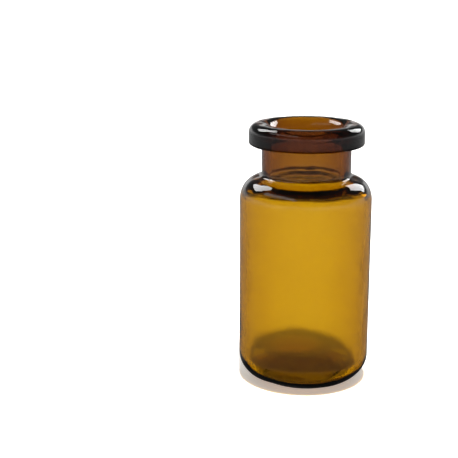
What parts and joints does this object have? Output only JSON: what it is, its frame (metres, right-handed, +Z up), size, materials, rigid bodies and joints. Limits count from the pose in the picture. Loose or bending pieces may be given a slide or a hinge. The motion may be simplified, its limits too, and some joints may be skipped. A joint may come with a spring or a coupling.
{
  "type": "sample vial",
  "caption": "Open amber glass sample vial with a thick crimp rim, a short neck, a rounded shoulder, a straight barrel and a slightly hollow flat base.",
  "frame": {"origin": "on the vial's axis, in the plane that its base ring stands on", "axes": "+Z up the vial's axis and out of the mouth; the vial is round, so +X and +Y are any two directions square to it"},
  "size_m": [0.023, 0.023, 0.046],
  "materials": {
    "amber_glass": "clear amber, fire-polished"
  },
  "bodies": {
    "root": {"vial_body": "amber_glass"}
  },
  "joints": []
}
